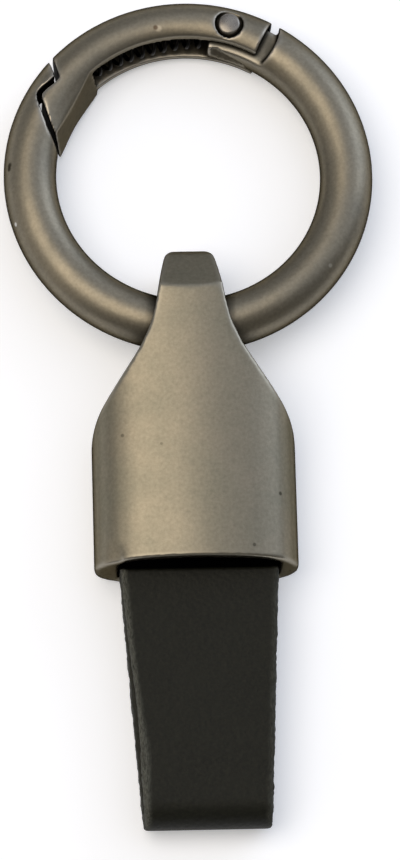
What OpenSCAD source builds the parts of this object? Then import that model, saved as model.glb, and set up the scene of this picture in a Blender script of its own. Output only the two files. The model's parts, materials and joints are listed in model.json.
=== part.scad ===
// Belt key clip. A ring with a sprung gate hooks over a belt loop, a cast cap shaped like a
// bottle hangs on the ring, and a folded leather strap held in the cap carries the keys.
// The clip lies on its back: +Y points from the strap's fold to the ring, and +Z is up.
// The origin is on the table, under the middle of the whole clip.

/* [Ring] */
// Clear opening inside the ring
ring_inner_d = 25; // [24:0.5:32]
// Thickness of the ring's round bar
bar_d = 5; // [4.6:0.1:5.4]
// How far the ring has slid sideways in the eye
ring_slide = 0.25; // [-0.3:0.05:0.3]

/* [Gate] */
// Place of the rivet on the ring, as an angle from +X
rivet_angle = 73.8; // [68:0.2:76]
// How far outside the bar's middle line the rivet stands
rivet_out = 0.22; // [0.1:0.02:0.3]
// Place of the nose's ledge on the ring, as an angle from +X
nose_angle = 146.8; // [144:0.2:152]
// How far outside the bar's middle line the ledge stands
ledge_out = 0.7; // [0.3:0.05:0.8]
// Height of the ledge that stops the gate
ledge_h = 2.3; // [1.6:0.1:2.6]
// Length of the slope that makes the ledge
ledge_run = 1.2; // [0.8:0.1:1.4]
// Lean of the open line on the ledge's inner side
seat_lean = 9; // [4:1:12]
// Open line between the gate and the ring
part_gap = 0.35; // [0.3:0.05:0.6]
// How far the gate's inner side stands in from the bar's middle line
gate_depth = 1.92; // [1.8:0.02:2.2]
// Lean of the gate's inner side, which stands further in at the back
gate_lean = 13; // [0:1:14]
// Radius along the inner edges of the gate
gate_edge_r = 0.9; // [0.6:0.1:1]
// How far the flat under the nose cuts into the ring's opening
nose_flat_in = 0.1; // [0:0.05:0.3]
// Distance from the rivet to the gate's cut end
gate_end = 3.5; // [3.2:0.05:3.7]
// Lean of the gate's cut end
gate_end_lean = 10; // [4:1:12]
// How far the gate swings into the ring
gate_swing = 40; // [25:1:42]
// Width of the channel in the gate
channel_w = 2.7; // [2.5:0.1:3]
// Wall behind the channel
web_t = 0.75; // [0.6:0.05:0.85]
// Solid part of the nose, as a turn on the ring
nose_turn = 15.8; // [14:0.2:20]

/* [Rivet] */
// Shank of the rivet
rivet_d = 1.6; // [1.2:0.1:1.7]
// Head of the rivet
rivet_head_d = 2.2; // [2:0.1:2.4]
// Recess round each head
rivet_recess_d = 2.7; // [2.5:0.1:2.9]
// Thickness of each head
rivet_head_t = 0.45; // [0.3:0.05:0.5]

/* [Spring] */
// Outside of the spring's coil
spring_d = 2; // [1.8:0.1:2.2]
// Spring wire
wire_d = 0.4; // [0.3:0.05:0.4]
// Curls in the spring
spring_curls = 10; // [7:1:10]
// How far the middle of the spring bulges into the ring
spring_bulge = 0.4; // [0:0.05:0.5]

/* [Cap] */
// Width of the cap's body
cap_w = 19; // [18.6:0.1:22]
// Thickness of the cap from back to front
cap_t = 8.4; // [8.2:0.1:9.4]
// Width of the neck at its top
neck_w = 4.6; // [4.2:0.1:5.4]
// Height of the cap's top above the ring's bar
head_l = 7; // [6.4:0.1:7.6]
// Length of the cap below the ring's bar
skirt_l = 23.5; // [22:0.1:27]
// Play of the ring's bar in the middle of the eye
eye_play = 0.5; // [0.4:0.05:0.7]
// Side wall of the cap
side_wall = 1.8; // [1.2:0.1:1.9]
// Front wall of the cap
front_wall = 1; // [0.8:0.1:1.2]
// Back wall of the cap
back_wall = 1.1; // [0.9:0.1:1.3]
// Depth of the pocket that takes the strap
pocket_l = 13.2; // [11:0.1:13.4]
// Radius of the front's gentle curve
front_r = 26; // [24:1:60]

/* [Strap] */
// Space at each side of the strap in the cap
strap_play = 0.35; // [0.3:0.05:0.6]
// Width of the strap at its fold
fold_w = 11.7; // [9:0.1:12.6]
// Thickness of the leather
leather_t = 1.7; // [1.4:0.05:1.8]
// Space between the two layers in the cap
layer_gap = 0.4; // [0.2:0.05:0.6]
// Radius inside the fold
fold_r = 0.7; // [0.5:0.05:1]
// Length of strap that shows below the cap
strap_l = 24; // [18:0.25:40]

/* [Screw] */
// Thread of the strap screw
screw_d = 2; // [1.6:0.1:2.5]
// Head of the strap screw
screw_head_d = 3.8; // [3.4:0.1:4.4]
// Boss inside the cap that takes the screw
boss_d = 4.4; // [3.8:0.1:5]

/* [Fits] */
// Space round a part that moves past another
run_gap = 0.3; // [0.2:0.05:0.4]
// Space between flat faces that turn on each other
face_gap = 0.1; // [0.06:0.02:0.14]
// Space round a shaft in its hole
shaft_gap = 0.04; // [0.02:0.01:0.08]

/* [Hidden] */

// Facets of the round forms
round_fn = 96;
small_fn = 48;
// Length by which a cut runs past the face that it opens
overrun = 1;

// Ring
bar_r = bar_d / 2;
ring_r = ring_inner_d / 2 + bar_r;
ring_z = cap_t / 2;
ring_lie = asin((ring_z - bar_r) / (2 * ring_r));
above_eye = 2 * ring_r * cos(ring_lie) + bar_r;
below_eye = skirt_l + strap_l;
eye_y = (below_eye - above_eye) / 2;

// Gate
rivet_at = polar(ring_r + rivet_out, rivet_angle);
ledge_at = polar(ring_r + ledge_out, nose_angle);
seat_mid = norm(ledge_at - rivet_at);
seat_dir = 180 + atan((ledge_at - rivet_at)[1] / (ledge_at - rivet_at)[0]);
ledge_turn = ledge_run / seat_mid * 180 / PI;
gap_turn = part_gap / 2 / seat_mid * 180 / PI;
seat_span = 20;
seat_step = 1;
gate_in_r = ring_r - gate_depth;
web_r = ring_r + bar_r - web_t;
channel_end = nose_angle - nose_turn;
flat_r = ring_inner_d / 2 - nose_flat_in;
flat_turn = 4;
upper_edge_share = 0.4;
cut_out = bar_r - rivet_out;
shoulder_r = norm([gate_end + cut_out * tan(gate_end_lean), cut_out]) + run_gap;

// Tongue of the ring's body
tongue_t = channel_w - 2 * face_gap;
tongue_top = web_r - ring_r - rivet_out - run_gap;
tongue_turn = 6.6;

// Rivet
head_z = bar_r - rivet_head_t - rivet_head_t / 2;

// Spring
curl_rings = 8;
wire_sides = 6;
coil_r = (spring_d - wire_d) / 2;
spring_at = ring_r + rivet_out - spring_d / 2;
spring_seat_turn = (wire_d / 2 + face_gap) / spring_at * 180 / PI;
spring_from = rivet_angle + tongue_turn + spring_seat_turn;
spring_to = channel_end - spring_seat_turn;

// Cap
edge_r = 3.2;
neck_corner_r = 1.1;
back_r = 3.5;
flank_lean = 34;
neck_lean = 10;
waist_r = 14;
shoulder_r_cap = 7;
shoulder_steps = 10;
waist_y = 1.7;
crease_y = 2.8;
crest_lean = 30;
crest_r = 1.6;
heel_r = 2.5;
pocket_edge_r = 0.6;

// Strap
strap_w = cap_w - 2 * side_wall - 2 * strap_play;
strap_back = back_wall + run_gap;
strap_front = strap_back + 2 * leather_t + layer_gap;
fold_out_r = fold_r + leather_t;
tail_l = pocket_l - run_gap;

// Screw
screw_y = -skirt_l + pocket_l / 2;
screw_tip_gap = 0.5;
screw_head_sink = 0.1;
drive_w = 0.5;
drive_share = 0.6;
drive_depth = 0.8;

function polar(r, a) = r * [cos(a), sin(a)];

// Radius about the rivet of the line where the gate meets the ring, at direction a from it
function seat_r(a) = seat_mid - ledge_h / 2 * cos(180 * min(1, max(0, (a - seat_dir) / ledge_turn + 0.5)))
    + seat_mid * PI / 180 * tan(seat_lean) * max(0, a - seat_dir - ledge_turn / 2);

// The cap, the strap and the screw, measured from the middle of the eye
module in_cap() {
    translate([-ring_slide, eye_y, 0])
        children();
}

// Places anything drawn round the ring's middle into the clip
module in_ring() {
    translate([0, eye_y, ring_z])
        rotate([-ring_lie, 0, 0])
            translate([0, ring_r, 0])
                children();
}

// Turns a section, drawn at its own radius, between two angles of the ring
module sweep_arc(from, to) {
    rotate([0, 0, from])
        rotate_extrude(angle = to - from, $fn = round_fn)
            children();
}

// Stands a flat outline up through the ring, as high as h
module slab(h) {
    translate([0, 0, -h / 2])
        linear_extrude(height = h)
            children();
}

// The part of the ring's plane that the gate needs, from the rivet to the ring's catch
module gate_zone() {
    reach = 2 * seat_mid;
    fan_from = 135;
    fan_to = 245;
    translate(rivet_at) {
        circle(r = shoulder_r, $fn = round_fn);
        polygon(concat(
            [[0, 0], polar(reach, fan_from), polar(reach, seat_dir - seat_span)],
            [for (a = [-seat_span:seat_step:seat_span])
                polar(seat_r(seat_dir + a + gap_turn) + part_gap / 2, seat_dir + a)],
            [polar(seat_mid, fan_to)]
        ));
    }
}

// Everything past the gate's nose
module past_nose() {
    reach = 2 * seat_mid;
    translate(rivet_at)
        polygon(concat(
            [for (a = [-seat_span:seat_step:seat_span])
                polar(seat_r(seat_dir + a - gap_turn) - part_gap / 2, seat_dir + a)],
            [polar(reach, seat_dir + seat_span), polar(reach, seat_dir - seat_span)]
        ));
}

// Outline of the tongue that the gate turns on
module tongue_outline() {
    reach = 2 * ring_r;
    tongue_from = rivet_angle - 2 * asin((shoulder_r + bar_r) / 2 / ring_r);
    intersection() {
        difference() {
            circle(r = ring_r + rivet_out + tongue_top, $fn = round_fn);
            circle(r = ring_r - bar_r, $fn = round_fn);
        }
        polygon([[0, 0], polar(reach, tongue_from), polar(reach, rivet_angle + tongue_turn)]);
        // The top is relieved twice: flat under the web when shut, and again when open
        intersection_for (turn = [0, gate_swing])
            translate(rivet_at)
                rotate([0, 0, rivet_angle + turn])
                    translate([tongue_top - reach, -reach])
                        square([reach, 2 * reach]);
    }
}

module ring_body() {
    color([0.43, 0.42, 0.38])
        in_ring()
            difference() {
                union() {
                    difference() {
                        sweep_arc(0, 360)
                            translate([ring_r, 0])
                                circle(r = bar_r, $fn = small_fn);
                        slab(bar_d + overrun)
                            gate_zone();
                    }
                    intersection() {
                        sweep_arc(0, 360)
                            translate([ring_r, 0])
                                circle(r = bar_r, $fn = small_fn);
                        slab(tongue_t)
                            tongue_outline();
                    }
                }
                translate([rivet_at[0], rivet_at[1], -bar_d])
                    cylinder(h = 2 * bar_d, r = rivet_d / 2 + shaft_gap, $fn = small_fn);
            }
}

// Section of the gate: round outside, and a leaning inner side with rounded edges
module gate_section(in_r) {
    lean_out = tan(gate_lean);
    middle = [ring_r, 0];
    ends = [for (height = [bar_r * upper_edge_share, gate_edge_r - bar_r])
        [in_r + height * lean_out + gate_edge_r / cos(gate_lean), height]];
    slope = middle - ends[0];
    touch = atan2(slope[1], slope[0]) + 90 + asin(min(1, (bar_r - gate_edge_r) / norm(slope)));
    intersection() {
        union() {
            translate(middle)
                circle(r = bar_r, $fn = small_fn);
            for (end = ends)
                translate(end)
                    circle(r = gate_edge_r, $fn = small_fn);
            polygon([
                middle + polar(bar_r, touch),
                ends[0] + polar(gate_edge_r, touch),
                ends[0] + polar(gate_edge_r, 180 - gate_lean),
                ends[1] + polar(gate_edge_r, 180 - gate_lean),
                ends[1] + polar(gate_edge_r, 270),
                middle + polar(bar_r, 270)
            ]);
        }
        polygon([
            [in_r - bar_d * lean_out, -bar_d],
            [ring_r + bar_d, -bar_d],
            [ring_r + bar_d, bar_d],
            [in_r + bar_d * lean_out, bar_d]
        ]);
    }
}

module gate() {
    hinge_from = rivet_angle - 2 * asin(gate_end / ring_r);
    nose_to = nose_angle + seat_span;
    far = 2 * ring_r;
    color([0.45, 0.43, 0.39])
        in_ring()
            difference() {
                union() {
                    sweep_arc(hinge_from, nose_to)
                        gate_section(gate_in_r);
                    intersection() {
                        sweep_arc(channel_end, nose_to)
                            gate_section(flat_r);
                        rotate([0, 0, nose_angle + flat_turn])
                            translate([flat_r, 0, 0])
                                rotate([0, gate_lean, 0])
                                    translate([0, -far, -far])
                                        cube([far, 2 * far, 2 * far]);
                    }
                }
                slab(bar_d + overrun)
                    past_nose();
                // Cut end beside the rivet
                translate(rivet_at)
                    rotate([0, 0, rivet_angle - gate_end_lean])
                        translate([-far, -far - gate_end, -far])
                            cube([2 * far, far, 2 * far]);
                // Channel for the spring and the tongue
                sweep_arc(hinge_from - gate_end_lean, channel_end)
                    translate([flat_r - overrun, -channel_w / 2])
                        square([web_r - flat_r + overrun, channel_w]);
                translate(rivet_at) {
                    translate([0, 0, -bar_d])
                        cylinder(h = 2 * bar_d, r = rivet_d / 2 + shaft_gap, $fn = small_fn);
                    for (side = [0, 1])
                        mirror([0, 0, side])
                            translate([0, 0, head_z])
                                cylinder(h = bar_d, r = rivet_recess_d / 2, $fn = small_fn);
                }
            }
}

module gate_rivet() {
    head_bevel = rivet_head_t / 3;
    color([0.5, 0.49, 0.47])
        in_ring()
            translate(rivet_at) {
                translate([0, 0, -head_z - rivet_head_t / 2])
                    cylinder(h = 2 * head_z + rivet_head_t, r = rivet_d / 2, $fn = small_fn);
                for (side = [0, 1])
                    mirror([0, 0, side])
                        translate([0, 0, head_z + shaft_gap]) {
                            cylinder(h = rivet_head_t - head_bevel, r = rivet_head_d / 2, $fn = small_fn);
                            translate([0, 0, rivet_head_t - head_bevel])
                                cylinder(h = head_bevel, r1 = rivet_head_d / 2,
                                    r2 = rivet_head_d / 2 - head_bevel, $fn = small_fn);
                        }
            }
}

// Point on the spring's wire, at share s of its length
function wire_at(s) =
    let (a = spring_from + (spring_to - spring_from) * s, turn = 360 * spring_curls * s)
    let (r = spring_at - spring_bulge * sin(180 * s) + coil_r * cos(turn))
    [r * cos(a), r * sin(a), coil_r * sin(turn)];

// Direction from the coil's middle line to that point
function wire_out(s) =
    let (a = spring_from + (spring_to - spring_from) * s, turn = 360 * spring_curls * s)
    [cos(turn) * cos(a), cos(turn) * sin(a), sin(turn)];

function unit(v) = v / norm(v);

// Ring of points round the wire at share s
function wire_ring(s) =
    let (ds = 1 / (spring_curls * curl_rings * curl_rings), along = unit(wire_at(s + ds) - wire_at(s - ds)))
    let (out = wire_out(s), side = unit(cross(along, out)))
    [for (k = [0:wire_sides - 1])
        wire_at(s) + wire_d / 2 * (cos(360 * k / wire_sides) * out + sin(360 * k / wire_sides) * side)];

module gate_spring() {
    rings = spring_curls * curl_rings;
    points = [for (i = [0:rings]) each wire_ring(i / rings)];
    sides = [for (i = [0:rings - 1], k = [0:wire_sides - 1])
        let (a = i * wire_sides + k, b = i * wire_sides + (k + 1) % wire_sides)
        each [[a, a + wire_sides, b + wire_sides], [a, b + wire_sides, b]]];
    first = [for (k = [1:wire_sides - 2]) [0, k, k + 1]];
    last = [for (k = [1:wire_sides - 2])
        let (base = rings * wire_sides)
        [base, base + k + 1, base + k]];
    middle = [for (i = [0:rings]) wire_at(i / rings)];
    apart = [for (i = [0:rings], j = [i + curl_rings / 2:rings]) norm(middle[i] - middle[j]) - wire_d];
    echo(least_gap_of_spring_mm = min(apart));
    color([0.3, 0.3, 0.3])
        in_ring()
            polyhedron(points = points, faces = concat(sides, first, last), convexity = spring_curls);
}

// Half of the cap's front outline, from its top to its rim, round the eye's middle
module cap_half_outline() {
    a = [neck_w / 2, head_l];
    corner_at = a - neck_corner_r * [(1 - sin(neck_lean)) / cos(neck_lean), 1];
    b = a + (head_l - waist_y) * [tan(neck_lean), -1];
    c = b + waist_r * [cos(neck_lean) - cos(flank_lean), sin(neck_lean) - sin(flank_lean)];
    bulge = shoulder_r_cap * (1 - cos(flank_lean));
    flank = (cap_w / 2 - c[0] - bulge) / sin(flank_lean);
    d = c + flank * [sin(flank_lean), -cos(flank_lean)];
    round_at = d - polar(shoulder_r_cap, flank_lean);
    difference() {
        polygon(concat(
            [[0, head_l]],
            [for (i = [0:shoulder_steps])
                corner_at + polar(neck_corner_r, 90 + (neck_lean - 90) * i / shoulder_steps)],
            [b, c],
            [for (i = [0:shoulder_steps])
                round_at + polar(shoulder_r_cap, flank_lean * (1 - i / shoulder_steps))],
            [[cap_w / 2, -skirt_l], [0, -skirt_l]]
        ));
        translate(b + polar(waist_r, neck_lean))
            circle(r = waist_r, $fn = round_fn);
    }
}

// Section across the cap: gently curved front, rounded sides, flat back; x across, y from the back
module cap_section(w, low, high, front_corner_r, back_corner_r, curve_r) {
    corner_x = w / 2 - front_corner_r;
    corner_y = high - curve_r + sqrt(pow(curve_r - front_corner_r, 2) - pow(corner_x, 2));
    middle = [0, high - curve_r];
    turn = asin(corner_x / (curve_r - front_corner_r));
    intersection() {
        translate(middle)
            circle(r = curve_r, $fn = 2 * round_fn);
        union() {
            translate([-corner_x, low + back_corner_r])
                square([2 * corner_x, high - low]);
            polygon([
                [-corner_x, corner_y],
                middle + polar(curve_r + overrun, 90 + turn),
                middle + polar(curve_r + overrun, 90 - turn),
                [corner_x, corner_y]
            ]);
            translate([back_corner_r - w / 2, low])
                square([w - 2 * back_corner_r, back_corner_r + overrun]);
            translate([-w / 2, low + back_corner_r])
                square([w, corner_y - low - back_corner_r]);
            for (side = [-1, 1]) {
                translate([side * corner_x, corner_y])
                    circle(r = front_corner_r, $fn = small_fn);
                translate([side * (w / 2 - back_corner_r), low + back_corner_r])
                    circle(r = back_corner_r, $fn = small_fn);
            }
        }
    }
}

// Side view of the cap: x along the clip from the eye, y from the back
module cap_profile() {
    crest = [head_l - crest_r, cap_t - (head_l - crest_r * (1 - sin(crest_lean)) - crease_y) * tan(crest_lean)
        - crest_r * cos(crest_lean)];
    polygon([
        [-skirt_l, 0],
        [head_l - heel_r, 0],
        [head_l, heel_r],
        [head_l, crest[1]],
        crest + crest_r * [sin(crest_lean), cos(crest_lean)],
        [crease_y, cap_t],
        [-skirt_l, cap_t]
    ]);
    translate(crest)
        circle(r = crest_r, $fn = small_fn);
    translate([head_l - heel_r, heel_r])
        circle(r = heel_r, $fn = small_fn);
}

module cap() {
    color([0.48, 0.45, 0.39])
        in_cap()
            difference() {
                intersection() {
                    linear_extrude(height = cap_t)
                        union() {
                            cap_half_outline();
                            mirror([1, 0])
                                cap_half_outline();
                        }
                    translate([0, head_l, 0])
                        rotate([90, 0, 0])
                            linear_extrude(height = head_l + skirt_l)
                                cap_section(cap_w, 0, cap_t, edge_r, back_r, front_r);
                    translate([-cap_w / 2, 0, 0])
                        rotate([90, 0, 90])
                            linear_extrude(height = cap_w)
                                cap_profile();
                }
                // Eye: the space that the ring's bar sweeps as it swings, bored round in the middle
                translate([0, 0, ring_z])
                    rotate([0, 90, 0])
                        rotate_extrude($fn = round_fn)
                            difference() {
                                translate([0, -ring_r / 2])
                                    square([ring_r, ring_r]);
                                translate([ring_r + run_gap, 0])
                                    circle(r = ring_r - bar_r, $fn = round_fn);
                                translate([cap_t, -ring_r])
                                    square([ring_r, 2 * ring_r]);
                            }
                translate([-cap_w, 0, ring_z])
                    rotate([0, 90, 0])
                        cylinder(h = 2 * cap_w, r = bar_r + eye_play, $fn = round_fn);
                // Pocket for the strap, with the screw's boss left standing
                difference() {
                    translate([0, pocket_l - skirt_l, 0])
                        rotate([90, 0, 0])
                            linear_extrude(height = pocket_l + overrun)
                                cap_section(cap_w - 2 * side_wall, back_wall, cap_t - front_wall,
                                    pocket_edge_r, pocket_edge_r, front_r - front_wall);
                    translate([0, screw_y, strap_front + run_gap])
                        cylinder(h = cap_t, d = boss_d, $fn = small_fn);
                }
                // Hole for the screw, sunk for its head
                translate([0, screw_y, -overrun])
                    cylinder(h = overrun + cap_t - front_wall, r = screw_d / 2 + shaft_gap, $fn = small_fn);
                translate([0, screw_y, -shaft_gap])
                    cylinder(h = screw_cone() + shaft_gap, r1 = screw_head_d / 2 + shaft_gap + screw_head_sink,
                        r2 = screw_d / 2 + shaft_gap, $fn = small_fn);
            }
}

// Depth of the screw's countersunk head
function screw_cone() = (screw_head_d - screw_d) / 2 + screw_head_sink;

// Side view of the folded strap: x along the clip from the eye, y from the table
module strap_loop() {
    fold_x = fold_out_r - below_eye;
    top_x = tail_l - skirt_l;
    difference() {
        union() {
            translate([fold_x, fold_out_r])
                circle(r = fold_out_r, $fn = small_fn);
            polygon([
                [fold_x, 0],
                [-skirt_l, strap_back],
                [top_x, strap_back],
                [top_x, strap_front],
                [-skirt_l, strap_front],
                [fold_x, 2 * fold_out_r]
            ]);
        }
        translate([fold_x, fold_out_r])
            circle(r = fold_r, $fn = small_fn);
        polygon([
            [fold_x, fold_out_r - fold_r],
            [-skirt_l, strap_back + leather_t],
            [top_x + overrun, strap_back + leather_t],
            [top_x + overrun, strap_front - leather_t],
            [-skirt_l, strap_front - leather_t],
            [fold_x, fold_out_r + fold_r]
        ]);
    }
}

module strap() {
    color([0.15, 0.15, 0.14])
        in_cap()
            difference() {
                intersection() {
                    translate([-strap_w / 2, 0, 0])
                        rotate([90, 0, 90])
                            linear_extrude(height = strap_w)
                                strap_loop();
                    linear_extrude(height = cap_t)
                        polygon([
                            [-strap_w / 2, 0],
                            [strap_w / 2, 0],
                            [strap_w / 2, -skirt_l],
                            [fold_w / 2, -below_eye],
                            [-fold_w / 2, -below_eye],
                            [-strap_w / 2, -skirt_l]
                        ]);
                }
                translate([0, screw_y, 0])
                    cylinder(h = cap_t, r = screw_d / 2 + face_gap, $fn = small_fn);
            }
}

module strap_screw() {
    color([0.4, 0.4, 0.4])
        in_cap()
            translate([0, screw_y, 0])
                difference() {
                    union() {
                        translate([0, 0, screw_head_sink])
                            cylinder(h = screw_cone() - screw_head_sink, r1 = screw_head_d / 2,
                                r2 = screw_d / 2, $fn = small_fn);
                        translate([0, 0, screw_cone() / 2])
                            cylinder(h = cap_t - front_wall - screw_tip_gap - screw_cone() / 2,
                                d = screw_d, $fn = small_fn);
                    }
                    for (turn = [0, 90])
                        rotate([0, 0, turn])
                            translate([-screw_head_d * drive_share / 2, -drive_w / 2, 0])
                                cube([screw_head_d * drive_share, drive_w, drive_depth]);
                }
}

ring_body();
gate();
gate_rivet();
gate_spring();
cap();
strap();
strap_screw();
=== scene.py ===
import json
import math

import bmesh
import bpy
import numpy as np
from mathutils import Matrix, Vector, noise
from mathutils.bvhtree import BVHTree


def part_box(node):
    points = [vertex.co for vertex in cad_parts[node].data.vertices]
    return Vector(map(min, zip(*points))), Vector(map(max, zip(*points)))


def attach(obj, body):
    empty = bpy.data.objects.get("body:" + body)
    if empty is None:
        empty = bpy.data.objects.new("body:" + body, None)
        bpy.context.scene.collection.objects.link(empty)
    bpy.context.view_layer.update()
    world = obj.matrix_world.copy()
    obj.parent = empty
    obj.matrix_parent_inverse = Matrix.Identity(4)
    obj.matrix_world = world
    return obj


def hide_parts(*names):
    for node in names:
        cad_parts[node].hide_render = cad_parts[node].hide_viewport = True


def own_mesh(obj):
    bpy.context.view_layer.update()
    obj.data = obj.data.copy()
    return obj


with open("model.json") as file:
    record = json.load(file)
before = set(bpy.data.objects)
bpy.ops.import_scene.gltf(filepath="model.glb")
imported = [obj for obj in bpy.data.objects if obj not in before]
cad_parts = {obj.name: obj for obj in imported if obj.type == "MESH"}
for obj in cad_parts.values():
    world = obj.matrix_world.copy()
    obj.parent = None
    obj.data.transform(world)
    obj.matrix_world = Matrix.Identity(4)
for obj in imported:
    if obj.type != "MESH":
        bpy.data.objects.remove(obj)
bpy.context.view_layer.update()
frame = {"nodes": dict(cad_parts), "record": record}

# Camera. The photograph looks down on the clip as it lies on a table, from a little to the left of
# the strap's end, and it is turned a few degrees, so that the clip leans in the picture.
MM = 0.001
camera_azimuth = math.radians(-10)
camera_elevation = math.radians(75.39)
camera_roll = math.radians(8.72)
camera_distance = 450 * MM
camera_lens = 201.8
aim = Vector((0.405, -2.553, 4.2)) * MM


def placed(name, data):
    """A new object in the scene that shows this data."""
    thing = bpy.data.objects.new(name, data)
    bpy.context.scene.collection.objects.link(thing)
    return thing


to_camera = Vector((math.sin(camera_azimuth) * math.cos(camera_elevation),
                    -math.cos(camera_azimuth) * math.cos(camera_elevation),
                    math.sin(camera_elevation)))
level = Vector((math.cos(camera_azimuth), math.sin(camera_azimuth), 0))
steep = to_camera.cross(level)
picture_right = level * math.cos(camera_roll) + steep * math.sin(camera_roll)
picture_up = steep * math.cos(camera_roll) - level * math.sin(camera_roll)

camera = placed("camera", bpy.data.cameras.new("camera"))
camera.data.lens = camera_lens
camera.data.sensor_width = 36
camera.data.clip_start = 10 * MM
turned = Matrix((picture_right, picture_up, to_camera)).transposed().to_4x4()
camera.matrix_world = Matrix.Translation(aim + to_camera * camera_distance) @ turned
bpy.context.scene.camera = camera
bpy.context.scene.view_settings.view_transform = "Standard"


# Table and light. A white sheet of card under the clip, one large warm softbox overhead and to the
# left, a cool window low behind the ring on the right, and a dim room that is darkest by the viewer.
def linear(colour):
    """An sRGB hex colour as the linear colour that a shader takes."""
    parts = [int(colour[i:i + 2], 16) / 255 for i in (1, 3, 5)]
    return tuple(c / 12.92 if c <= 0.04045 else ((c + 0.055) / 1.055) ** 2.4 for c in parts) + (1,)


def add(tree, kind, inputs=None, **settings):
    """Adds a node to a tree, gives it its settings, and sets or links each named input."""
    node = tree.nodes.new(kind)
    for name, value in settings.items():
        setattr(node, name, value)
    for name, value in (inputs or {}).items():
        if isinstance(value, bpy.types.NodeSocket):
            tree.links.new(value, node.inputs[name])
        else:
            node.inputs[name].default_value = value
    return node


def empty_material(name):
    """A material with no nodes yet, and its tree."""
    material = bpy.data.materials.new(name)
    material.use_nodes = True
    material.node_tree.nodes.clear()
    return material, material.node_tree


card_half = 600 * MM
card_drop = 0.02 * MM
card_colour = "#e9edf5"
card_glow = 0.28
card = placed("card", bpy.data.meshes.new("card"))
card_corners = [(x * card_half, y * card_half, -card_drop)
                for x, y in ((-1, -1), (1, -1), (1, 1), (-1, 1))]
card.data.from_pydata(card_corners, [], [(0, 1, 2, 3)])
card_paper, tree = empty_material("card_paper")
path = add(tree, "ShaderNodeLightPath")
seen = add(tree, "ShaderNodeMath", {0: path.outputs["Is Camera Ray"], 1: path.outputs["Is Glossy Ray"]},
           operation="ADD")
seen = add(tree, "ShaderNodeMath", {0: seen.outputs[0], 1: path.outputs["Is Transmission Ray"]},
           operation="ADD", use_clamp=True)
glow = add(tree, "ShaderNodeMath", {0: seen.outputs[0], 1: card_glow}, operation="MULTIPLY")
paper = add(tree, "ShaderNodeBsdfDiffuse", {"Color": linear(card_colour)})
light_out = add(tree, "ShaderNodeEmission", {"Strength": glow.outputs[0]})
both = add(tree, "ShaderNodeAddShader", {0: paper.outputs[0], 1: light_out.outputs[0]})
add(tree, "ShaderNodeOutputMaterial", {"Surface": both.outputs[0]})
card.data.materials.append(card_paper)


def softbox(name, along, distance, size, colour, radiance):
    """A round area lamp that faces the clip from the direction along, and gives off this radiance."""
    way = Vector(along).normalized()
    lamp = bpy.data.lights.new(name, "AREA")
    lamp.shape = "DISK"
    lamp.size = size
    lamp.color = linear(colour)[:3]
    lamp.energy = radiance * math.pi * math.pi * (size / 2) ** 2
    facing = way.to_track_quat("Z", "Y").to_matrix().to_4x4()
    placed(name, lamp).matrix_world = Matrix.Translation(way * distance) @ facing


softbox("warm_softbox", (-0.34, 0.04, 0.94), distance=0.50, size=0.44, colour="#fff2e0", radiance=2.82)
softbox("cool_window", (0.78, 0.55, 0.30), distance=0.60, size=0.48, colour="#dfebff", radiance=1.72)
softbox("ceiling_fill", (0.45, 0.48, 0.75), distance=0.60, size=0.80, colour="#e8efff", radiance=0.57)
softbox("wall_fill", (-0.85, -0.15, 0.50), distance=0.60, size=0.70, colour="#fff4e6", radiance=0.48)

room_light, room_dark = "#acafb4", "#7e7c77"
room_blend = 0.6
world = bpy.data.worlds.new("room")
world.use_nodes = True
world.node_tree.nodes.clear()
bpy.context.scene.world = world
tree = world.node_tree
look = add(tree, "ShaderNodeTexCoord")
parts = add(tree, "ShaderNodeSeparateXYZ", {0: look.outputs["Generated"]})
along_y = add(tree, "ShaderNodeMapRange", {
    "Value": parts.outputs["Y"], "From Min": -room_blend, "From Max": room_blend})
room = add(tree, "ShaderNodeMix", {
    "Factor": along_y.outputs[0], "A": linear(room_dark), "B": linear(room_light)}, data_type="RGBA")
sky = add(tree, "ShaderNodeBackground", {"Color": room.outputs["Result"], "Strength": 1.0})
add(tree, "ShaderNodeOutputWorld", {"Surface": sky.outputs[0]})


# Cap. A zinc die casting shaped like a bottle, barrel-tumbled so that no edge is sharp, plated in
# pearl nickel and brushed lightly from neck to rim. The strap goes up its pocket, the ring through
# its eye.
def neighbours(mesh):
    """Index pairs of the vertices that an edge joins, and how many edges each vertex has."""
    ends = np.zeros(len(mesh.edges) * 2, np.int64)
    mesh.edges.foreach_get("vertices", ends)
    ends = ends.reshape(-1, 2)
    return ends, np.bincount(ends.ravel(), minlength=len(mesh.vertices)).astype(float)


def spread(values, ends, count):
    """The mean of each vertex's neighbours."""
    total = np.zeros_like(values)
    np.add.at(total, ends[:, 0], values[ends[:, 1]])
    np.add.at(total, ends[:, 1], values[ends[:, 0]])
    return total / np.maximum(count, 1).reshape((-1,) + (1,) * (values.ndim - 1))


def rows(mesh, field):
    """One row of x, y and z for each vertex of a mesh: its place, "co", or its "normal"."""
    flat = np.zeros(len(mesh.vertices) * 3)
    mesh.vertices.foreach_get(field, flat)
    return flat.reshape(-1, 3)


def move(mesh, place):
    """Moves the vertices of a mesh to these rows of x, y and z."""
    mesh.vertices.foreach_set("co", place.ravel())
    mesh.update()


def note(mesh, label, value):
    """Writes one number for each vertex on a mesh, as an attribute that its material reads."""
    layer = mesh.attributes.new(label, "FLOAT", "POINT")
    layer.data.foreach_set("value", value.astype(np.float32))


def ramp(value, start, width):
    """0 up to start, 1 from start plus width on, and straight between them."""
    return np.clip((value - start) / width, 0, 1)


def bell(value, middle, width):
    """1 in the middle, and falling off smoothly to both sides."""
    return np.exp(-((value - middle) / width) ** 2)


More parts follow.
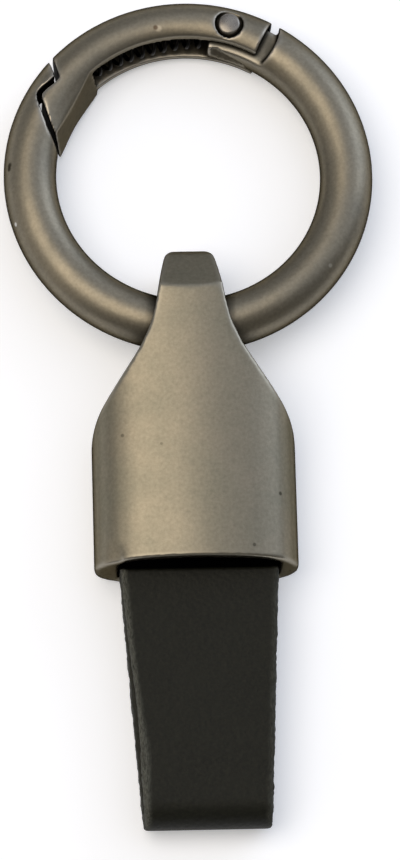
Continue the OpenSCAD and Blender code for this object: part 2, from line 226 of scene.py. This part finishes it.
def settle(piece):
    """Gives a piece the plain mesh that its modifiers make, and takes them off it."""
    depsgraph = bpy.context.evaluated_depsgraph_get()
    made = bpy.data.meshes.new_from_object(piece.evaluated_get(depsgraph), depsgraph=depsgraph)
    piece.modifiers.clear()
    piece.data = made
    return made


def tumbled(node, name, grain, passes):
    """A copy of a CAD part as one closed skin of small faces, with its edges worn round by tumbling.

    grain is the size of the small faces, and more passes wear the edges rounder. The attribute
    "edge" says how sharply the skin bends outwards, and "hollow" how sharply it bends inwards."""
    same_point = 0.002 * MM
    bend_reach, bend_passes = 4, 2
    bend_start, bend_width = 0.05, 0.2
    whole = bmesh.new()
    whole.from_mesh(frame["nodes"][node].data)
    bmesh.ops.remove_doubles(whole, verts=whole.verts, dist=same_point)
    mesh = bpy.data.meshes.new(name)
    whole.to_mesh(mesh)
    whole.free()
    mesh.materials.clear()
    piece = placed(name, mesh)
    skin = piece.modifiers.new("skin", "REMESH")
    skin.mode = "VOXEL"
    skin.voxel_size = grain
    skin.use_smooth_shade = True
    made = settle(piece)
    ends, count = neighbours(made)
    place = rows(made, "co")
    for _ in range(passes):
        place = place * 0.5 + spread(place, ends, count) * 0.5
    move(made, place)
    smooth = place
    for _ in range(bend_reach):
        smooth = spread(smooth, ends, count)
    bend = ((place - smooth) * rows(made, "normal")).sum(1) / grain
    for _ in range(bend_passes):
        bend = spread(bend, ends, count)
    note(made, "edge", ramp(bend, bend_start, bend_width))
    note(made, "hollow", ramp(-bend, bend_start, bend_width))
    return piece


# Cloud, grain and scratch patterns keep mostly between these two of their values
pattern_ends = {"From Min": 0.3, "From Max": 0.7}


def satin_plate(name, light, dark, bare, roughness, stretch, end_share, pits):
    """Satin nickel plate on a die casting: broad gloss, cloudy tone, pearly grain, pale worn edges.

    The plate is painted darker on the sides, as painted shade standing in for the darker room that they
    reflect, and end_share is how far that leaves out faces that look along the part. stretch is how
    brushing drew the grain out. Each pit is a place and a size in millimetres, and a colour. Real plate
    has grain of some hundredths of a millimetre, drawn here at a third of a millimetre so that it
    shows."""
    cloud_size, grain_size, pearl_size = 5 * MM, 0.35 * MM, 0.32 * MM
    pearl_dark, pearl_light = 0.85, 1.14
    pit_share = 0.8
    side_at, front_at, side_shade_tone = 0.1, 0.45, 0.76
    dirt_and_shade, dirt_and_shade_share, dirt_and_shade_from, dirt_and_shade_full = "#12100d", 0.72, 0.05, 0.35
    gloss_play, edge_gloss = 0.03, 0.08
    relief, relief_height, grain_relief = 0.16, 0.03 * MM, 0.6
    low_angle_tint = "#505050"
    material, tree = empty_material(name)
    here = add(tree, "ShaderNodeTexCoord").outputs["Object"]
    clouds = add(tree, "ShaderNodeTexNoise", {
        "Vector": here, "Scale": 1 / cloud_size, "Detail": 3.0, "Roughness": 0.6})
    tone = add(tree, "ShaderNodeMapRange", {"Value": clouds.outputs[0], **pattern_ends})
    plate = add(tree, "ShaderNodeMix", {
        "Factor": tone.outputs[0], "A": linear(light), "B": linear(dark)}, data_type="RGBA")
    grain_way = add(tree, "ShaderNodeMapping", {"Vector": here, "Scale": stretch})
    grain = add(tree, "ShaderNodeTexNoise", {
        "Vector": grain_way.outputs[0], "Scale": 1 / grain_size, "Detail": 4.0, "Roughness": 0.7})
    pearl = add(tree, "ShaderNodeTexNoise", {
        "Vector": here, "Scale": 1 / pearl_size, "Detail": 3.0, "Roughness": 0.6})
    fleck = add(tree, "ShaderNodeMapRange", {
        "Value": pearl.outputs[0], "From Min": 0.25, "From Max": 0.75,
        "To Min": pearl_dark, "To Max": pearl_light})
    skin = add(tree, "ShaderNodeMix", {
        "Factor": 1.0, "A": plate.outputs["Result"], "B": fleck.outputs[0]},
        data_type="RGBA", blend_type="MULTIPLY")
    for at, size, colour in pits:
        away = add(tree, "ShaderNodeVectorMath", {0: here, 1: Vector(at) * MM}, operation="DISTANCE")
        spot = add(tree, "ShaderNodeMapRange", {
            "Value": away.outputs["Value"], "From Min": 0.5 * size * MM, "From Max": size * MM,
            "To Min": pit_share, "To Max": 0.0})
        skin = add(tree, "ShaderNodeMix", {
            "Factor": spot.outputs[0], "A": skin.outputs["Result"], "B": linear(colour)},
            data_type="RGBA")
    edge = add(tree, "ShaderNodeAttribute", attribute_name="edge")
    worn = add(tree, "ShaderNodeMix", {
        "Factor": edge.outputs["Fac"], "A": skin.outputs["Result"], "B": linear(bare)},
        data_type="RGBA")
    # Painted shade: faces that look sideways are painted darker, as if they reflected a darker room
    facing = add(tree, "ShaderNodeTexCoord").outputs["Normal"]
    facing = add(tree, "ShaderNodeVectorMath", {0: facing}, operation="ABSOLUTE").outputs[0]
    facing = add(tree, "ShaderNodeSeparateXYZ", {0: facing})
    front_facing = add(tree, "ShaderNodeMath", {
        0: facing.outputs["Y"], 1: end_share, 2: facing.outputs["Z"]}, operation="MULTIPLY_ADD")
    side_shade = add(tree, "ShaderNodeMapRange", {
        "Value": front_facing.outputs[0], "From Min": side_at, "From Max": front_at,
        "To Min": side_shade_tone, "To Max": 1.0})
    side_shaded = add(tree, "ShaderNodeMix", {
        "Factor": 1.0, "A": worn.outputs["Result"], "B": side_shade.outputs[0]},
        data_type="RGBA", blend_type="MULTIPLY")
    # Painted shade, with some dirt: close to another casting the plate is painted towards near black
    deep = add(tree, "ShaderNodeAttribute", attribute_name="deep")
    shade_and_grime = add(tree, "ShaderNodeMapRange", {
        "Value": deep.outputs["Fac"], "From Min": dirt_and_shade_from, "From Max": dirt_and_shade_full,
        "To Min": 0.0, "To Max": dirt_and_shade_share})
    dirt_and_shade_mix = add(tree, "ShaderNodeMix", {
        "Factor": shade_and_grime.outputs[0], "A": side_shaded.outputs["Result"], "B": linear(dirt_and_shade)},
        data_type="RGBA")
    gloss = add(tree, "ShaderNodeMapRange", {
        "Value": clouds.outputs[0], **pattern_ends,
        "To Min": roughness - gloss_play, "To Max": roughness + gloss_play})
    worn_gloss = add(tree, "ShaderNodeMath", {
        0: edge.outputs["Fac"], 1: -edge_gloss, 2: gloss.outputs[0]}, operation="MULTIPLY_ADD")
    height = add(tree, "ShaderNodeMath", {
        0: grain.outputs[0], 1: grain_relief, 2: pearl.outputs[0]}, operation="MULTIPLY_ADD")
    bump = add(tree, "ShaderNodeBump", {
        "Height": height.outputs[0], "Strength": relief, "Distance": relief_height})
    metal = add(tree, "ShaderNodeBsdfPrincipled", {
        "Base Color": dirt_and_shade_mix.outputs["Result"], "Metallic": 1.0, "Roughness": worn_gloss.outputs[0],
        "Normal": bump.outputs[0], "Specular Tint": linear(low_angle_tint)})
    add(tree, "ShaderNodeOutputMaterial", {"Surface": metal.outputs[0]})
    return material


cap_pits = [((-6.93, -3.77, 7.36), 0.22, "#544f44"), ((7.58, -9.39, 6.7), 0.24, "#38352d"),
            ((4.96, -14.46, 7.86), 0.22, "#4a463d"), ((-3.37, -4.81, 8.21), 0.18, "#5f5a4e")]
head_length, head_narrows = 3 * MM, 0.07
flat_half, fall_width, fall = 4.8 * MM, 4.7 * MM, 1.0 * MM
fall_from, fall_blend = 3 * MM, 3 * MM
rim_length, rim_slant, rim_start = 3 * MM, 0.75 * MM, 0.25 * MM
lip_in, lip_at, lip_width = 0.5 * MM, 1.8 * MM, 0.7 * MM
lip_above, lip_blend = 2.5 * MM, 2 * MM
cap = tumbled("cap", "cap_casting", 0.16 * MM, 6)
cap_low, cap_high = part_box("cap")
rim = cap_low[1]
cap_middle = (cap_low[0] + cap_high[0]) / 2
place = rows(cap.data, "co")
# The head narrows a little more towards its end than the solid does
narrow = ramp(place[:, 1], cap_high[1] - head_length, head_length)
place[:, 0] = cap_middle + (place[:, 0] - cap_middle) * (1 - head_narrows * narrow ** 2)
# Polishing rounded the front off towards both sides
outer = ramp(np.abs(place[:, 0] - cap_middle), flat_half, fall_width)
place[:, 2] -= fall * outer ** 2 * ramp(place[:, 2], fall_from, fall_blend)
# The rim is cut a little aslant, and its left lip comes close to the strap
at_rim = ramp(rim + rim_length - place[:, 1], 0, rim_length)
place[:, 1] += (rim_slant * place[:, 2] / cap_high[2] - rim_start) * at_rim ** 2
lip = bell(place[:, 0], cap_low[0] + lip_at, lip_width)
place[:, 0] += lip_in * lip * ramp(rim + lip_above - place[:, 1], 0, lip_blend)
move(cap.data, place)
cap_plate = satin_plate("satin_nickel_cap", light="#817a6b", dark="#787466", bare="#8f8a7e",
                        roughness=0.38, stretch=(1, 0.12, 1), end_share=0.6, pits=cap_pits)
cap.data.materials.append(cap_plate)
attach(cap, "cap")
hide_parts("cap")

# Ring body. A zinc casting like the cap, plated in the same pearl nickel, cut open between the catch
# that stops the gate's nose and the tongue that the gate turns on.
ring_pits = [((-16.92, 23.35, 4.89), 0.35, "#2a261f"), ((-16.95, 23.0, 4.85), 0.3, "#2a261f"),
             ((-16.45, 17.55, 4.82), 0.25, "#d0d0cc"), ((13.02, 12.71, 6.0), 0.25, "#a8a498"),
             ((-2.51, 36.77, 4.96), 0.4, "#a89f8e"), ((-2.79, 36.87, 4.99), 0.3, "#4a3a2c")]
slot_half, slot_depth, slot_steps = 0.62 * MM, 0.6 * MM, 41
slot_marks = np.array([(2.9, 34.85, 3.4), (3.4, 34.6, 3.0), (4.0, 34.35, 2.7), (4.7, 34.05, 2.5),
                       (5.3, 33.85, 2.3)]) * MM
inner_side = -0.4
ring = tumbled("ring_body", "ring_casting", 0.16 * MM, 6)
place, facing = rows(ring.data, "co"), rows(ring.data, "normal")
# A shallow curved slot in the tongue's inner side
share = np.linspace(0, len(slot_marks) - 1, slot_steps)
slot_line = np.stack([np.interp(share, range(len(slot_marks)), slot_marks[:, k]) for k in range(3)], 1)
from_slot = np.linalg.norm(place[:, None] - slot_line[None], axis=2).min(1)
cut = slot_depth * np.clip(1 - (from_slot / slot_half) ** 2, 0, 1) * (facing[:, 1] < inner_side)
move(ring.data, place - facing * cut[:, None])
ring_plate = satin_plate("satin_nickel_ring", light="#80796a", dark="#767165", bare="#928d83",
                         roughness=0.40, stretch=(1, 1, 1), end_share=0.0, pits=ring_pits)
ring.data.materials.append(ring_plate)
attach(ring, "ring")
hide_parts("ring_body")

# Gate. A second casting with a channel along its inner side for the spring, and a solid nose with
# the hooked end that meets the catch.
gate = tumbled("gate", "gate_casting", 0.12 * MM, 5)
gate.data.materials.append(ring_plate)
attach(gate, "gate")
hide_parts("gate")


# Gate rivet. A turned steel pin through the gate's cheeks and the ring's tongue, with low domed heads
# that were pressed over in their recesses and polished.
def steel(name, light, dark, roughness):
    """Bright steel, turned or drawn: fine scratches, cloudy tone and a little dirt in hollows."""
    scratch_size, cloud_size = 0.08 * MM, 0.8 * MM
    dirt_and_shade, gloss_play = "#2a2723", 0.05
    relief, relief_height = 0.15, 0.01 * MM
    material, tree = empty_material(name)
    here = add(tree, "ShaderNodeTexCoord").outputs["Object"]
    scratch = add(tree, "ShaderNodeTexNoise", {
        "Vector": here, "Scale": 1 / scratch_size, "Detail": 3.0, "Roughness": 0.6})
    clouds = add(tree, "ShaderNodeTexNoise", {
        "Vector": here, "Scale": 1 / cloud_size, "Detail": 3.0, "Roughness": 0.6})
    tone = add(tree, "ShaderNodeMapRange", {"Value": clouds.outputs[0], **pattern_ends})
    skin = add(tree, "ShaderNodeMix", {
        "Factor": tone.outputs[0], "A": linear(light), "B": linear(dark)}, data_type="RGBA")
    hollow = add(tree, "ShaderNodeAttribute", attribute_name="hollow")
    dirt_and_shade_mix = add(tree, "ShaderNodeMix", {
        "Factor": hollow.outputs["Fac"], "A": skin.outputs["Result"], "B": linear(dirt_and_shade)},
        data_type="RGBA")
    gloss = add(tree, "ShaderNodeMapRange", {
        "Value": scratch.outputs[0], **pattern_ends,
        "To Min": roughness - gloss_play, "To Max": roughness + gloss_play})
    bump = add(tree, "ShaderNodeBump", {
        "Height": scratch.outputs[0], "Strength": relief, "Distance": relief_height})
    metal = add(tree, "ShaderNodeBsdfPrincipled", {
        "Base Color": dirt_and_shade_mix.outputs["Result"], "Metallic": 1.0, "Roughness": gloss.outputs[0],
        "Normal": bump.outputs[0]})
    add(tree, "ShaderNodeOutputMaterial", {"Surface": metal.outputs[0]})
    return material


pivot = next(joint for joint in frame["record"]["behaviour"]["joints"] if joint["name"] == "gate_pivot")
pivot_at, pivot_way = np.array(pivot["pos_m"]), np.array(pivot["axis"])
head_radius, head_dome = 1.1 * MM, 0.14 * MM
head_from, head_blend = 2.1 * MM, 0.1 * MM
rivet = tumbled("gate_rivet", "rivet_pin", 0.06 * MM, 5)
place = rows(rivet.data, "co")
height = (place - pivot_at) @ pivot_way
across = np.linalg.norm(place - pivot_at - height[:, None] * pivot_way, axis=1)
end_face = ramp(np.abs(height), head_from, head_blend) * np.sign(height)
rise = head_dome * np.clip(1 - (across / head_radius) ** 2, 0, 1) * end_face
move(rivet.data, place + rise[:, None] * pivot_way)
rivet.data.materials.append(steel("rivet_steel_skin", light="#87837b", dark="#77726d", roughness=0.3))
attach(rivet, "gate")
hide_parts("gate_rivet")


# Gate spring. A close coil of drawn spring wire in the gate's channel, bent with the ring between the
# tongue and the channel's end, where its ends push.
def wound_wire():
    """A Geometry Nodes tree that winds wire into a coil along an arc about the origin.

    The arc runs at Middle Radius between the two angles, and sags inwards by Bulge in its middle."""
    tree = bpy.data.node_groups.new("wound_wire", "GeometryNodeTree")
    for label, kind in (("Curls", "Int"), ("Steps", "Int"), ("Start Angle", "Float"),
                        ("End Angle", "Float"), ("Middle Radius", "Float"), ("Bulge", "Float"),
                        ("Coil Radius", "Float"), ("Wire Radius", "Float"), ("Wire Sides", "Int"),
                        ("Wire Steel", "Material")):
        tree.interface.new_socket(label, in_out="INPUT", socket_type="NodeSocket" + kind)
    tree.interface.new_socket("Geometry", in_out="OUTPUT", socket_type="NodeSocketGeometry")
    given = add(tree, "NodeGroupInput").outputs
    straight = add(tree, "GeometryNodeCurvePrimitiveLine")
    points = add(tree, "ShaderNodeMath", {0: given["Steps"], 1: 1.0}, operation="ADD")
    line = add(tree, "GeometryNodeResampleCurve", {
        "Curve": straight.outputs["Curve"], "Count": points.outputs[0]}, mode="COUNT")
    share = add(tree, "GeometryNodeSplineParameter").outputs["Factor"]
    angle = add(tree, "ShaderNodeMapRange", {
        "Value": share, "To Min": given["Start Angle"], "To Max": given["End Angle"]})
    curl = add(tree, "ShaderNodeMath", {0: share, 1: given["Curls"]}, operation="MULTIPLY")
    turn = add(tree, "ShaderNodeMath", {0: curl.outputs[0], 1: 2 * math.pi}, operation="MULTIPLY")
    cosine = add(tree, "ShaderNodeMath", {0: turn.outputs[0]}, operation="COSINE")
    sine = add(tree, "ShaderNodeMath", {0: turn.outputs[0]}, operation="SINE")
    half_turn = add(tree, "ShaderNodeMath", {0: share, 1: math.pi}, operation="MULTIPLY")
    bow = add(tree, "ShaderNodeMath", {0: half_turn.outputs[0]}, operation="SINE")
    sag = add(tree, "ShaderNodeMath", {0: bow.outputs[0], 1: given["Bulge"]}, operation="MULTIPLY")
    arc = add(tree, "ShaderNodeMath", {0: given["Middle Radius"], 1: sag.outputs[0]},
              operation="SUBTRACT")
    radius = add(tree, "ShaderNodeMath", {
        0: cosine.outputs[0], 1: given["Coil Radius"], 2: arc.outputs[0]}, operation="MULTIPLY_ADD")
    height = add(tree, "ShaderNodeMath", {0: sine.outputs[0], 1: given["Coil Radius"]},
                 operation="MULTIPLY")
    upright = add(tree, "ShaderNodeCombineXYZ", {"X": radius.outputs[0], "Z": height.outputs[0]})
    wound = add(tree, "ShaderNodeVectorRotate", {
        "Vector": upright.outputs[0], "Angle": angle.outputs[0]}, rotation_type="Z_AXIS")
    coil = add(tree, "GeometryNodeSetPosition", {
        "Geometry": line.outputs["Curve"], "Position": wound.outputs[0]})
    section = add(tree, "GeometryNodeCurvePrimitiveCircle", {
        "Resolution": given["Wire Sides"], "Radius": given["Wire Radius"]})
    wire = add(tree, "GeometryNodeCurveToMesh", {
        "Curve": coil.outputs["Geometry"], "Profile Curve": section.outputs["Curve"],
        "Fill Caps": True})
    real = add(tree, "GeometryNodeRealizeInstances", {"Geometry": wire.outputs["Mesh"]})
    skin = add(tree, "GeometryNodeSetMaterial", {
        "Geometry": real.outputs["Geometry"], "Material": given["Wire Steel"]})
    add(tree, "NodeGroupOutput", {"Geometry": skin.outputs["Geometry"]})
    return tree


ring_radius = 15 * MM
rivet_out = 0.22 * MM
wire_radius, coil_radius = 0.2 * MM, 0.8 * MM
curls, curl_steps = 10, 24
clear_of_tongue, channel_end = math.radians(7.8), math.radians(129.8)
swing = next(joint for joint in frame["record"]["behaviour"]["joints"] if joint["name"] == "ring_swing")
lie = math.atan2(pivot_way[1], pivot_way[2])
ring_place = (Matrix.Translation(swing["pos_m"]) @ Matrix.Rotation(-lie, 4, "X")
              @ Matrix.Translation((0, ring_radius, 0)))
rivet_flat = ring_place.inverted() @ Vector(pivot_at)
coil_from, coil_to = math.atan2(rivet_flat.y, rivet_flat.x) + clear_of_tongue, channel_end
coil_middle = ring_radius + rivet_out - coil_radius - wire_radius
# The coil's steel is near black: a dark finish, and painted shade for the dark inside the gate's
# channel
coil_sizes = {"Curls": curls, "Steps": curls * curl_steps, "Start Angle": coil_from,
              "End Angle": coil_to, "Middle Radius": coil_middle, "Bulge": 0.4 * MM,
              "Coil Radius": coil_radius, "Wire Radius": wire_radius, "Wire Sides": 10,
              "Wire Steel": steel("spring_steel_skin", light="#1a1917", dark="#141312", roughness=0.4)}
spring = placed("gate_coil", bpy.data.meshes.new("gate_coil"))
winding = spring.modifiers.new("winding", "NODES")
winding.node_group = wound_wire()
for socket in winding.node_group.interface.items_tree:
    if socket.in_out == "INPUT":
        winding[socket.identifier] = coil_sizes[socket.name]
settle(spring).transform(ring_place)
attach(spring, "gate")
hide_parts("gate_spring")
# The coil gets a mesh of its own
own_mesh(spring)


# Strap. One strip of black oiled leather, folded at the bottom, with both ends in the cap. Its long
# edges were cut with a knife and left raw, so that pale fibres show; the left front edge is painted
# paler still, a painted highlight where the light from the left falls on the cut edge.
def leather(name):
    """Black grained leather, dull and a little mottled, with raw fibrous edges where the strap's
    raw-edge attribute says so; on the lit edge their paleness is partly a painted highlight.

    Real pores are about a tenth of a millimetre, drawn at a quarter to half a millimetre so that
    they show. "deep" says what lies in the dark of the cap's mouth."""
    cloud_size, cell_size, pore_size, fibre_size = 4 * MM, 0.45 * MM, 0.25 * MM, 0.12 * MM
    smooth_gloss, raw_gloss = 0.55, 0.9
    relief, relief_height, pore_relief = 0.8, 0.05 * MM, 0.6
    material, tree = empty_material(name)
    here = add(tree, "ShaderNodeTexCoord").outputs["Object"]
    clouds = add(tree, "ShaderNodeTexNoise", {
        "Vector": here, "Scale": 1 / cloud_size, "Detail": 3.0, "Roughness": 0.6})
    tone = add(tree, "ShaderNodeMapRange", {"Value": clouds.outputs[0], **pattern_ends})
    cells = add(tree, "ShaderNodeTexVoronoi", {"Vector": here, "Scale": 1 / cell_size},
                feature="SMOOTH_F1")
    pores = add(tree, "ShaderNodeTexNoise", {
        "Vector": here, "Scale": 1 / pore_size, "Detail": 3.0, "Roughness": 0.7})
    speckle = add(tree, "ShaderNodeMapRange", {
        "Value": pores.outputs[0], "From Min": 0.35, "From Max": 0.65})
    dyed = add(tree, "ShaderNodeMix", {
        "Factor": tone.outputs[0], "A": linear("#080904"), "B": linear("#0f1009")}, data_type="RGBA")
    mottled = add(tree, "ShaderNodeMix", {
        "Factor": speckle.outputs[0], "A": dyed.outputs["Result"], "B": linear("#171810")},
        data_type="RGBA")
    raw_and_lit = add(tree, "ShaderNodeAttribute", attribute_name="raw_and_lit")
    along = add(tree, "ShaderNodeMapping", {"Vector": here, "Scale": (1, 0.25, 1)})
    fibre = add(tree, "ShaderNodeTexNoise", {
        "Vector": along.outputs[0], "Scale": 1 / fibre_size, "Detail": 4.0, "Roughness": 0.7})
    fibre_tone = add(tree, "ShaderNodeMapRange", {"Value": fibre.outputs[0], **pattern_ends})
    fibres = add(tree, "ShaderNodeMix", {
        "Factor": fibre_tone.outputs[0], "A": linear("#1b1c18"), "B": linear("#62635c")},
        data_type="RGBA")
    skin = add(tree, "ShaderNodeMix", {
        "Factor": raw_and_lit.outputs["Fac"], "A": mottled.outputs["Result"], "B": fibres.outputs["Result"]},
        data_type="RGBA")
    gloss = add(tree, "ShaderNodeMapRange", {
        "Value": raw_and_lit.outputs["Fac"], "To Min": smooth_gloss, "To Max": raw_gloss})
    grain = add(tree, "ShaderNodeMath", {
        0: pores.outputs[0], 1: pore_relief, 2: cells.outputs["Distance"]}, operation="MULTIPLY_ADD")
    surface = add(tree, "ShaderNodeMix", {
        "Factor": raw_and_lit.outputs["Fac"], "A": grain.outputs[0], "B": fibre.outputs[0]},
        data_type="FLOAT")
    bump = add(tree, "ShaderNodeBump", {
        "Height": surface.outputs["Result"], "Strength": relief, "Distance": relief_height})
    hide = add(tree, "ShaderNodeBsdfPrincipled", {
        "Base Color": skin.outputs["Result"], "Roughness": gloss.outputs[0],
        "Specular IOR Level": 0.19, "Normal": bump.outputs[0]})
    # Painted shade: where "deep" says so, the leather is painted near black for the dark of the cap's
    # mouth
    deep = add(tree, "ShaderNodeAttribute", attribute_name="deep")
    shade = add(tree, "ShaderNodeBsdfDiffuse", {"Color": linear("#030303")})
    shaded = add(tree, "ShaderNodeMixShader", {
        0: deep.outputs["Fac"], 1: hide.outputs[0], 2: shade.outputs[0]})
    add(tree, "ShaderNodeOutputMaterial", {"Surface": shaded.outputs[0]})
    return material


fold_half = 5.85 * MM
tear_size, tuft_size = 0.9 * MM, 0.4 * MM
front_layer, layer_blend = 2.55 * MM, 0.4 * MM
fray_depth, tuft_depth = 0.42 * MM, 0.12 * MM
fray_more, fray_at, fray_width = 0.8, 0.72, 0.16
raw_reach, raw_left_back, raw_right = 1.6, 0.2, 0.4
inset_all, inset_more, inset_reach = 0.12 * MM, 0.26 * MM, 0.7 * MM
inset_at, inset_width = 0.55, 0.25
tear, tuft, tear_reach = 0.07 * MM, 0.1 * MM, 0.5 * MM
drift_at_rim, drift_reach, drift_below = 0.22 * MM, 5 * MM, 0.24 * MM
press_depth, press_blend, press_layer = 0.8 * MM, 0.25 * MM, 1.2 * MM
strap = tumbled("strap", "strap_leather", 0.2 * MM, 4)
strap_low, strap_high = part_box("strap")
middle = (strap_low[0] + strap_high[0]) / 2
rim_half = (strap_high[0] - strap_low[0]) / 2
place = rows(strap.data, "co")
down = ramp(rim - place[:, 1], 0, rim - strap_low[1])
below_rim = down > 0
left = place[:, 0] < middle
from_edge = rim_half + (fold_half - rim_half) * down - np.abs(place[:, 0] - middle)
front = ramp(place[:, 2], front_layer, layer_blend)
torn = np.array([noise.noise(Vector(point) * (1 / tear_size)) for point in place])
tufts = np.array([noise.noise(Vector(point) * (1 / tuft_size)) for point in place])
fray = fray_depth * (1 + fray_more * bell(down, fray_at, fray_width) * left)
# Pale raw fibres along both edges; on the left front edge they are painted paler still, a painted
# highlight of the light from the left
raw_and_lit = (np.clip(raw_reach - (from_edge + tuft_depth * tufts) / fray, 0, 1)
       * np.where(left, raw_left_back + (1 - raw_left_back) * front, raw_right))
# On the left the back layer stands out a little past the front layer
inset = (inset_all + inset_more * bell(down, inset_at, inset_width)) * front * left * below_rim
place[:, 0] += inset * np.exp(-np.maximum(from_edge, 0) / inset_reach)
place[:, 0] += (tear * torn + tuft * tufts) * np.clip(1.2 - from_edge / tear_reach, 0, 1) * below_rim
# The strap hangs a little to the right of the cap's middle
near_rim = ramp(rim + drift_reach - place[:, 1], 0, drift_reach)
place[:, 0] += drift_at_rim * near_rim + drift_below * down
# The front layer is pressed thinner where it goes in under the cap's rim
pressed = ramp(place[:, 1], rim, press_blend)
place[:, 2] -= press_depth * pressed * ramp(place[:, 2], strap_high[2] - press_layer, press_layer)
move(strap.data, place)
note(strap.data, "raw_and_lit", raw_and_lit)
note(strap.data, "deep", pressed)
strap.data.materials.append(leather("black_leather"))
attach(strap, "cap")
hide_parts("strap")

# Strap screw. A small countersunk steel screw with a cross recess, driven in from the cap's back
# through both ends of the strap and into the boss inside the cap, so that it clamps them there.
screw = tumbled("strap_screw", "clamp_screw", 0.08 * MM, 3)
screw.data.materials.append(steel("screw_steel_skin", light="#686560", dark="#5a5752", roughness=0.34))
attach(screw, "cap")
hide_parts("strap_screw")


# Painted shade and dirt. Where two castings face each other closely, in the cap's eye and round the
# gate's ends, the plate is painted darker, as shade with some dirt, so it is worked out once all of the
# castings are there.
def sheltered(piece, others, reach):
    """Notes how closely each spot faces another surface, as "deep", where the plate is painted darker
    as shade with some dirt.
    """
    lift, lean = 0.03 * MM, 0.8
    corners, faces = [], []
    for body in [piece] + others:
        start = len(corners)
        corners += [vertex.co.copy() for vertex in body.data.vertices]
        faces += [[start + index for index in face.vertices] for face in body.data.polygons]
    tree = BVHTree.FromPolygons(corners, faces)
    mesh = piece.data
    deep = np.zeros(len(mesh.vertices))
    for index, vertex in enumerate(mesh.vertices):
        out = vertex.normal
        aside = out.orthogonal().normalized()
        across = out.cross(aside)
        ways = [out] + [out + lean * tilt for tilt in (aside, -aside, across, -across)]
        for way in ways:
            distance = tree.ray_cast(vertex.co + out * lift, way.normalized(), reach)[3]
            if distance is not None:
                deep[index] += (1 - distance / reach) / len(ways)
    ends, count = neighbours(mesh)
    for _ in range(2):
        deep = deep * 0.5 + spread(deep, ends, count) * 0.5
    note(mesh, "deep", deep)


dirt_and_shade_reach = 3 * MM
sheltered(cap, [ring], dirt_and_shade_reach)
sheltered(ring, [cap, gate], dirt_and_shade_reach)
sheltered(gate, [ring, rivet], dirt_and_shade_reach)
